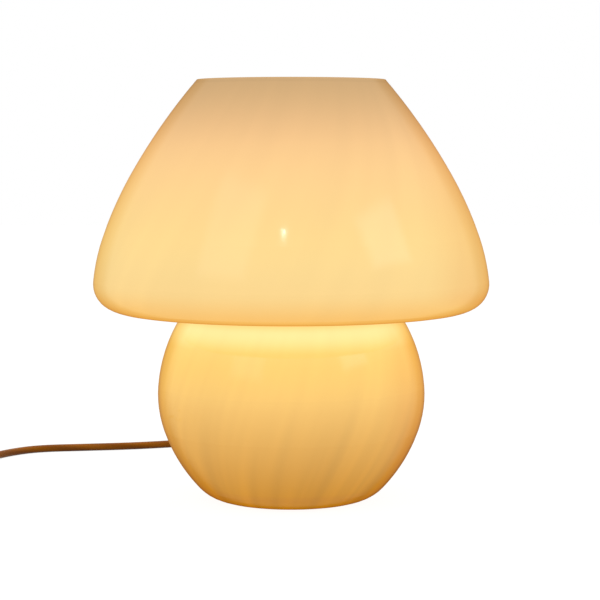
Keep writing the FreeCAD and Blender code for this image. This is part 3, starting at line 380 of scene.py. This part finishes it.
def grid_piece(name, points, around=True, ends=False, loop=False):
    """A mesh from a grid of points, row by row.

    around closes each row, ends fill the first and the last row, and loop joins the last row to the first.
    """
    rows, columns = points.shape[:2]
    index = np.arange(rows * columns).reshape(rows, columns)
    if around:
        index = np.hstack([index, index[:, :1]])
    if loop:
        index = np.vstack([index, index[:1]])
    quads = np.stack([index[:-1, :-1], index[:-1, 1:], index[1:, 1:], index[1:, :-1]], -1).reshape(-1, 4)
    faces = quads.tolist()
    if ends:
        faces += [index[0, :columns][::-1].tolist(), index[-1, :columns].tolist()]
    mesh = bpy.data.meshes.new(name)
    mesh.from_pydata(points.reshape(-1, 3).tolist(), [], faces)
    mesh.polygons.foreach_set("use_smooth", [True] * len(quads) + [False] * (len(faces) - len(quads)))
    mesh.update()
    made = bpy.data.objects.new(name, mesh)
    bpy.context.scene.collection.objects.link(made)
    return made


def threaded_sleeve(name, outline, low, high):
    """A sheet-metal sleeve with the rolled, right-hand thread of the standard screw cap.

    outline is its closed profile as radius and height. Between low and high each radius is drawn in by
    half the depth times (1 - cosine of (turn - 2 pi height / pitch)), faded over one pitch at both ends.
    """
    radius, height = outline.T[:, :, None]
    turn = np.arange(THREAD_SIDES) * 2 * math.pi / THREAD_SIDES
    fade = np.clip(np.minimum(height - low, high - height) / THREAD_PITCH, 0, 1)
    wave = 1 - np.cos(turn - 2 * math.pi * height / THREAD_PITCH)
    radius = radius - THREAD_DEPTH / 2 * fade * wave
    height = np.broadcast_to(height, radius.shape)
    points = np.stack([radius * np.cos(turn), radius * np.sin(turn), height], -1)
    return grid_piece(name, points, loop=True)


def upright(radius, start, end):
    """Profile points up or down a wall, close enough together for the thread's waves."""
    heights = np.linspace(start, end, round(abs(end - start) / THREAD_PITCH * THREAD_STEPS) + 1)
    return np.column_stack([np.full_like(heights, radius), heights])


def smooth_line(points):
    """Points along the smooth curve that has these control points, read from a curve with no bevel."""
    curve = bpy.data.curves.new("route", "CURVE")
    curve.dimensions = "3D"
    curve.resolution_u = 8
    spline = curve.splines.new("NURBS")
    spline.points.add(len(points) - 1)
    spline.points.foreach_set("co", np.hstack([points, np.ones((len(points), 1))]).ravel())
    spline.order_u = 3
    spline.use_endpoint_u = True
    holder = bpy.data.objects.new("route", curve)
    line = bpy.data.meshes.new_from_object(holder)
    found = np.zeros(len(line.vertices) * 3)
    line.vertices.foreach_get("co", found)
    bpy.data.objects.remove(holder)
    bpy.data.curves.remove(curve)
    bpy.data.meshes.remove(line)
    return found.reshape(-1, 3)


def lead_piece(name, line, diameter, sides=20):
    """A round lead: at each point of the line a circle square to it, set out sideways and upwards.

    Its UV map "run" has the length along the lead in metres and the share of the turn round it.
    """
    along = np.gradient(line, axis=0)
    along /= np.linalg.norm(along, axis=1, keepdims=True)
    side = np.cross(along, (0, 0, 1))
    side /= np.linalg.norm(side, axis=1, keepdims=True)
    up = np.cross(side, along)
    turn = np.arange(sides) * 2 * math.pi / sides
    ring = side[:, None] * np.cos(turn)[:, None] + up[:, None] * np.sin(turn)[:, None]
    made = grid_piece(name, line[:, None] + ring * diameter / 2, ends=True)
    run = np.concatenate([[0], np.cumsum(np.linalg.norm(np.diff(line, axis=0), axis=1))])
    low, high = np.meshgrid(run[:-1], np.arange(sides), indexing="ij")
    step = np.broadcast_to((run[1:] - run[:-1])[:, None], low.shape)
    u = np.stack([low, low, low + step, low + step], -1)
    v = np.stack([high, high + 1, high + 1, high], -1) / sides
    uv = np.stack([u, v], -1).reshape(-1, 2)
    caps = np.zeros((2 * sides, 2))
    made.data.uv_layers.new(name="run").data.foreach_set("uv", np.vstack([uv, caps]).ravel())
    return made


def coil_points():
    """Control points of the coil: a spiral that goes clockwise in, up one layer, and clockwise out again."""
    turn = np.arange(COIL_HALF_TURNS * COIL_STEPS + 1) / COIL_STEPS       # in half turns
    inside = (COIL_HALF_TURNS - 1) / 2                                    # where it has come to the middle
    inward = np.minimum(np.minimum(turn, COIL_HALF_TURNS - turn) / inside, 1)
    radius = COIL_OUTER - (COIL_OUTER - COIL_INNER) * inward
    climb = np.clip(turn - inside, 0, 1)
    return np.column_stack([COIL_CENTRE[0] + radius * np.cos(math.pi * turn),
                            COIL_CENTRE[1] - radius * np.sin(math.pi * turn),
                            (LYING + COIL_LAYER * climb) * MM])


# ---------------------------------------------------------------- one operator for each piece

class LAMP_OT_glass(bpy.types.Operator):
    """Finish the blown glass body"""
    bl_idname = "lamp.glass"
    bl_label = "Glass body"

    def execute(self, context):
        paint(blown_opal_glass(context.scene.lamp_glass), "glass_body")
        return {"FINISHED"}


class LAMP_OT_fittings(bpy.types.Operator):
    """Finish the clamped stack in the foot and the lamp holder"""
    bl_idname = "lamp.fittings"
    bl_label = "Foot fittings and holder"

    def execute(self, context):
        # Steel, pressed or turned, then zinc-plated: a cool light grey with a soft shine.
        zinc = metal("zinc_plated_steel", linear("#A0A2A4"), linear("#B9BBBD"), 0.38)
        paint(zinc, "bottom_nut", "lower_washer", "spreader_disc", "dome_grub_screw", "switch_screws")
        # Brass, turned or pressed and left bare: a warm yellow with a clearer shine.
        brass = metal("turned_brass", linear("#B89144"), linear("#D2AA5A"), 0.3)
        paint(brass, "bottom_nipple", "upper_nipple", "outlet_coupler", "holder_collar",
              "centre_contact", "terminal_posts", "switch_contacts")
        (_, _, floor), (wide, _, rim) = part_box("screw_shell")
        sheet, hole = 0.6 * MM, 7.7 * MM                    # the brass's thickness, the floor's hole
        plain_foot, plain_rim = 1.5 * MM, 0.5 * MM          # what the thread leaves plain
        wall = np.vstack([upright(wide, floor, rim), upright(wide - sheet, rim, floor + sheet),
                          [(hole, floor + sheet), (hole, floor)]])
        shell = threaded_sleeve("threaded_shell", wall, floor + plain_foot, rim - plain_rim)
        shell.data.materials.append(brass)
        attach(shell, "lamp")
        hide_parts("screw_shell")
        # EPDM rubber, cut from sheet: almost black, with hardly a shine.
        rubber = plastic("epdm_rubber", linear("#161616"), linear("#222222"), 0.65)
        paint(rubber, "lower_gasket", "upper_gasket")
        # Nylon, moulded and not dyed: milky cream with a satin skin.
        nylon = plastic("moulded_nylon", linear("#C9C1AE"), linear("#D8D2C2"), 0.45)
        paint(nylon, "outlet_bush", "cord_stop")
        # Phenolic, pressed hot in a polished mould: a brown near black, with a fair gloss.
        phenolic = plastic("moulded_phenolic", linear("#14110F"), linear("#1F1B18"), 0.28)
        paint(phenolic, "holder_dome", "holder_skirt", "plug_collars")
        # Steatite ceramic, glazed: off-white under a clear, wet-looking gloss.
        ceramic = plastic("glazed_steatite", linear("#DCD6C8"), linear("#EAE5DA"), 0.15)
        paint(ceramic, "holder_insert")
        return {"FINISHED"}


class LAMP_OT_bulb(bpy.types.Operator):
    """Finish the bulb"""
    bl_idname = "lamp.bulb"
    bl_label = "Bulb"

    def execute(self, context):
        paint(frosted_bulb_glass(), "bulb_glass")
        # Nickel, plated on brass: a warm light grey that mirrors its surroundings a little blurred.
        nickel = metal("nickel_plate", linear("#C3BEB4"), linear("#CFCBC2"), 0.22)
        paint(nickel, "plug_pins")
        (_, _, low), (lip, _, high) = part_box("bulb_cap")
        sheet, flare, slope = 0.5 * MM, 0.2 * MM, 3 * MM    # thickness, lip past the thread, slopes' height
        plain_neck = 1.0 * MM                               # what the thread leaves plain
        wide, narrow = lip - flare, 10.0 * MM
        shoulder, neck = low + slope, high - slope
        wall = np.vstack([(narrow, low), upright(wide, shoulder, neck), (lip, high), (lip - sheet, high),
                          upright(wide - sheet, neck, shoulder), (narrow - sheet, low)])
        cap = threaded_sleeve("threaded_cap", wall, shoulder, neck - plain_neck)
        cap.data.materials.append(nickel)
        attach(cap, "bulb")
        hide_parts("bulb_cap")
        # Black glass, pressed into the cap while it is soft: deep black with a sharp gloss.
        paint(plastic("black_cap_glass", linear("#0A0A0A"), linear("#141414"), 0.12), "bulb_insulator")
        # Soft solder, set as a drop: a dull grey.
        paint(metal("soft_solder", linear("#8E8E8C"), linear("#B4B4B0"), 0.45), "bulb_tip")
        # Clear glass, drawn as a tube: only its edges and glints show.
        clear, _, _ = finish_of("clear_stem_glass", linear("#F2F6F6"), 0.03, Transmission_Weight=1.0)
        paint(clear, "bulb_stem")
        # Tungsten, drawn to wire: a dark grey with a narrow shine.
        paint(metal("drawn_tungsten", linear("#6E6A66"), linear("#8E8A86"), 0.3), "bulb_supports",
              "bulb_filament")
        return {"FINISHED"}


class LAMP_OT_lead(bpy.types.Operator):
    """Lay the lead from the lamp to its switch and on to the plug"""
    bl_idname = "lamp.lead"
    bl_label = "Lead"

    def execute(self, context):
        look = context.scene.lamp_lead
        sheath = amber_lead_sheath(look)
        line = smooth_line(LEAD_TO_SWITCH)
        first = lead_piece("lead_to_switch", line, look.diameter)
        onward = smooth_line(np.vstack([SWITCH_TO_COIL, coil_points(), COIL_TO_PLUG]))
        second = lead_piece("lead_to_plug", onward, look.diameter)
        for piece, nodes in ((first, ["cord_lead"]), (second, ["cord_link", "cord_coil", "cord_tail"])):
            piece.data.materials.append(sheath)
            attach(piece, "lamp")
            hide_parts(*nodes)
        second.visible_glossy = False       # put away beside the view, so the glass doesn't mirror it
        # Soft PVC, moulded: brown, with a satin skin.
        paint(plastic("moulded_soft_pvc", linear("#4A2A10"), linear("#573315"), 0.5), "cable_grommet")
        # The sheath's own PVC inside the base, where no bands would show: plain amber, half dull.
        paint(plastic("plain_amber_pvc", look.core, look.sheath, 0.4, Specular_IOR_Level=0.15),
              "inner_lead")
        # PVC, extruded on the wires: brown and smooth, a little glossier than the sheath.
        paint(plastic("extruded_core_pvc", linear("#3B2A20"), linear("#54402E"), 0.35), "lead_cores")
        return {"FINISHED"}


class LAMP_OT_mouldings(bpy.types.Operator):
    """Finish the switch and the plug"""
    bl_idname = "lamp.mouldings"
    bl_label = "Switch and plug"

    def execute(self, context):
        # ABS, moulded in a polished tool: dark amber brown with an even, soft gloss.
        light = context.scene.lamp_lead.moulded
        dark = tuple(MOULDING_GRAIN * c for c in light[:3]) + (1.0,)
        paint(plastic("moulded_amber_abs", dark, light, 0.3), *MOULDINGS)
        for name in MOULDINGS:              # put away beside the view, as the lead to the plug
            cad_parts[name].visible_glossy = False
        return {"FINISHED"}


# ---------------------------------------------------------------- stage

def softbox(name, aside, above, distance, size, power, edge, mirrored):
    """A rectangular lamp that looks at LIT_POINT from so many degrees aside of the front and above it.

    Its light is full in the middle and falls off softly towards the rim, over edge of its half width.
    """
    aside, above = math.radians(aside), math.radians(above)
    towards = Vector((math.sin(aside) * math.cos(above), -math.cos(aside) * math.cos(above),
                      math.sin(above)))
    data = bpy.data.lights.new(name, "AREA")
    data.shape = "RECTANGLE"
    data.size, data.size_y = size
    data.energy = power
    data.use_nodes = True
    tree = data.node_tree
    place = add(tree, "NewGeometry").outputs["Parametric"]
    place = add(tree, "VectorMath", {0: place, 1: (-0.5, -0.5, 0)}, operation="ADD").outputs[0]
    place = add(tree, "VectorMath", {0: place}, operation="ABSOLUTE").outputs[0]
    parts = add(tree, "SeparateXYZ", {0: place}).outputs
    out = add(tree, "Math", {0: parts["X"], 1: parts["Y"]}, operation="MAXIMUM").outputs[0]
    level = add(tree, "MapRange", {"Value": out, "From Min": 0.5 - 0.5 * edge, "From Max": 0.5,
                                   "To Min": 1.0, "To Max": 0.0}, interpolation_type="SMOOTHSTEP")
    tree.links.new(level.outputs["Result"], tree.nodes["Emission"].inputs["Strength"])
    made = bpy.data.objects.new(name, data)
    made.location = Vector(LIT_POINT) + towards * distance
    made.rotation_euler = towards.to_track_quat("Z", "Y").to_euler()
    made.visible_glossy = mirrored
    bpy.context.scene.collection.objects.link(made)


def seen_or_mirrored(tree):
    """1 for rays that come straight from the camera, from a gloss or through glass, and 0 for others."""
    path = add(tree, "LightPath").outputs
    either = add(tree, "Math", {0: path["Is Camera Ray"], 1: path["Is Glossy Ray"]}, operation="MAXIMUM")
    return add(tree, "Math", {0: either.outputs[0], 1: path["Is Transmission Ray"]},
               operation="MAXIMUM").outputs[0]


def white_paper():
    """Matt white paper: it looks a plain near-white by itself, and the lamps' light draws a soft shadow."""
    made = bpy.data.materials.new("white_paper_floor")
    made.use_nodes = True
    tree = made.node_tree
    tree.nodes.clear()
    lit = add(tree, "BsdfDiffuse", {"Color": (FLOOR_LIT, FLOOR_LIT, FLOOR_LIT, 1)}).outputs[0]
    level = add(tree, "Math", {0: seen_or_mirrored(tree), 1: FLOOR_LEVEL}, operation="MULTIPLY").outputs[0]
    plain = add(tree, "Emission", {"Strength": level}).outputs[0]
    both = add(tree, "AddShader", {0: lit, 1: plain}).outputs[0]
    add(tree, "OutputMaterial", {"Surface": both})
    return made


class LAMP_OT_stage(bpy.types.Operator):
    """Set up the pale floor, the plain light and the camera"""
    bl_idname = "lamp.stage"
    bl_label = "Stage"

    def execute(self, context):
        look = context.scene.lamp_studio
        scene = context.scene
        scene.view_settings.view_transform = "Standard"

        world = bpy.data.worlds.new("studio")
        scene.world = world
        world.use_nodes = True
        tree = world.node_tree
        level = add(tree, "MapRange", {"Value": seen_or_mirrored(tree), "To Min": look.ambient,
                                       "To Max": 1.0}).outputs["Result"]
        tree.links.new(level, tree.nodes["Background"].inputs["Strength"])
        tree.nodes["Background"].inputs["Color"].default_value = linear("#FFFFFF")

        half = FLOOR_HALF
        corners = np.array([[(-half, -half, 0), (half, -half, 0)], [(-half, half, 0), (half, half, 0)]])
        floor = grid_piece("floor", corners, around=False)
        floor.data.materials.append(white_paper())

        for name, numbers in LAMPS.items():
            softbox(name, *numbers)

        camera = bpy.data.cameras.new("camera")
        camera.lens = look.lens
        camera.sensor_width = SENSOR_WIDTH
        eye = bpy.data.objects.new("camera", camera)
        eye.location = (look.aside, -look.distance, look.height)
        eye.rotation_euler = Euler((math.pi / 2 - look.pitch, 0, 0))
        scene.collection.objects.link(eye)
        scene.camera = eye
        return {"FINISHED"}


class LAMP_PT_pieces(bpy.types.Panel):
    """Lists the lamp's pieces and what can be changed"""
    bl_label = "Mushroom lamp"
    bl_space_type = "VIEW_3D"
    bl_region_type = "UI"
    bl_category = "Lamp"

    def draw(self, context):
        for group, kind in GROUPS.items():
            box = self.layout.box()
            for name in kind.__annotations__:
                box.prop(getattr(context.scene, group), name)
        for operator in OPERATORS:
            self.layout.operator(operator.bl_idname)


GROUPS = {"lamp_glass": LampGlass, "lamp_lead": LampLead, "lamp_studio": LampStudio}
OPERATORS = [LAMP_OT_glass, LAMP_OT_fittings, LAMP_OT_bulb, LAMP_OT_lead, LAMP_OT_mouldings, LAMP_OT_stage]


def register():
    for kind in [*GROUPS.values(), *OPERATORS, LAMP_PT_pieces]:
        bpy.utils.register_class(kind)
    for name, kind in GROUPS.items():
        setattr(bpy.types.Scene, name, PointerProperty(type=kind))


def unregister():
    for name in GROUPS:
        delattr(bpy.types.Scene, name)
    for kind in [LAMP_PT_pieces, *OPERATORS, *GROUPS.values()]:
        bpy.utils.unregister_class(kind)


def main():
    register()
    bpy.ops.lamp.stage()
    bpy.ops.lamp.lead()
    bpy.ops.lamp.glass()
    bpy.ops.lamp.fittings()
    bpy.ops.lamp.bulb()
    bpy.ops.lamp.mouldings()


if __name__ == "__main__":
    main()
